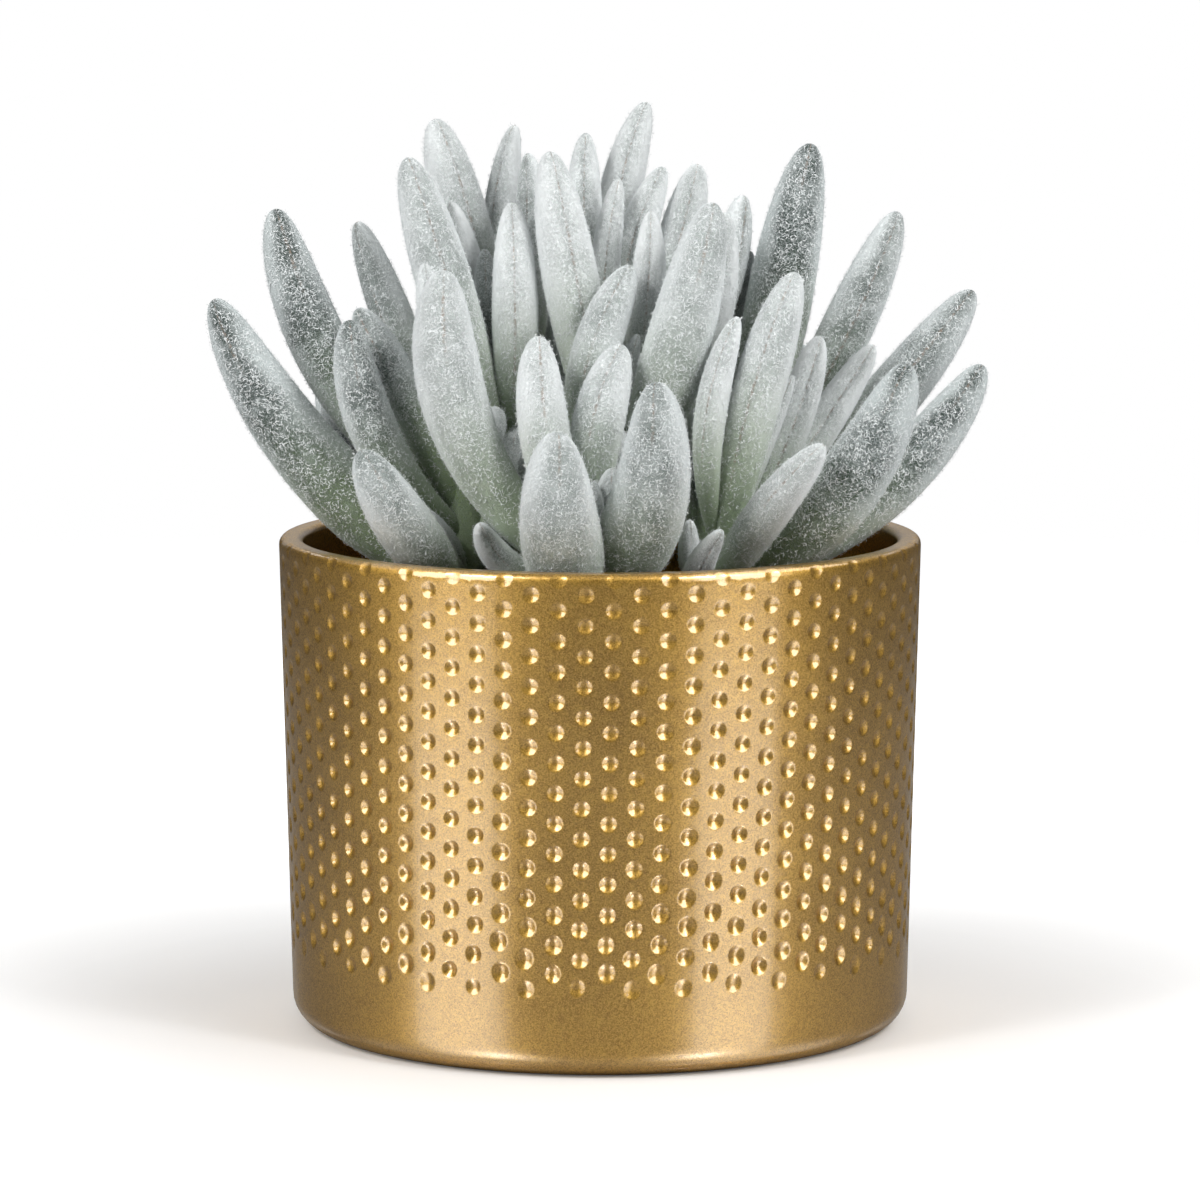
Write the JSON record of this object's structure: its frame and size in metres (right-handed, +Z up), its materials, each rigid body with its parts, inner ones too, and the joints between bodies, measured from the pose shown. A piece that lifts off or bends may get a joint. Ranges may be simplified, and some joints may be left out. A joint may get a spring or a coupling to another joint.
{
  "type": "potted senecio",
  "caption": "White-felted senecio succulent with upright spindle leaves, growing in soil in a round gold pot with rows of small dimples.",
  "frame": {"origin": "middle of the pot's flat base", "axes": "+Z up along the pot's axis, -Y towards the side that the picture shows, +X to its right"},
  "size_m": [0.1271, 0.1069, 0.151],
  "materials": {
    "gold_paint": "satin metallic gold paint with a fine glitter grain, on ceramic",
    "potting_soil": "dark crumbly potting soil",
    "white_felt": "dense white wool on grey-green leaves and stems"
  },
  "bodies": {
    "root": {"pot": "gold_paint", "soil": "potting_soil", "shoot_left": "white_felt", "shoot_centre": "white_felt", "shoot_right": "white_felt", "shoot_back_left": "white_felt", "shoot_back": "white_felt", "shoot_back_right": "white_felt", "shoot_rear": "white_felt"}
  },
  "joints": []
}
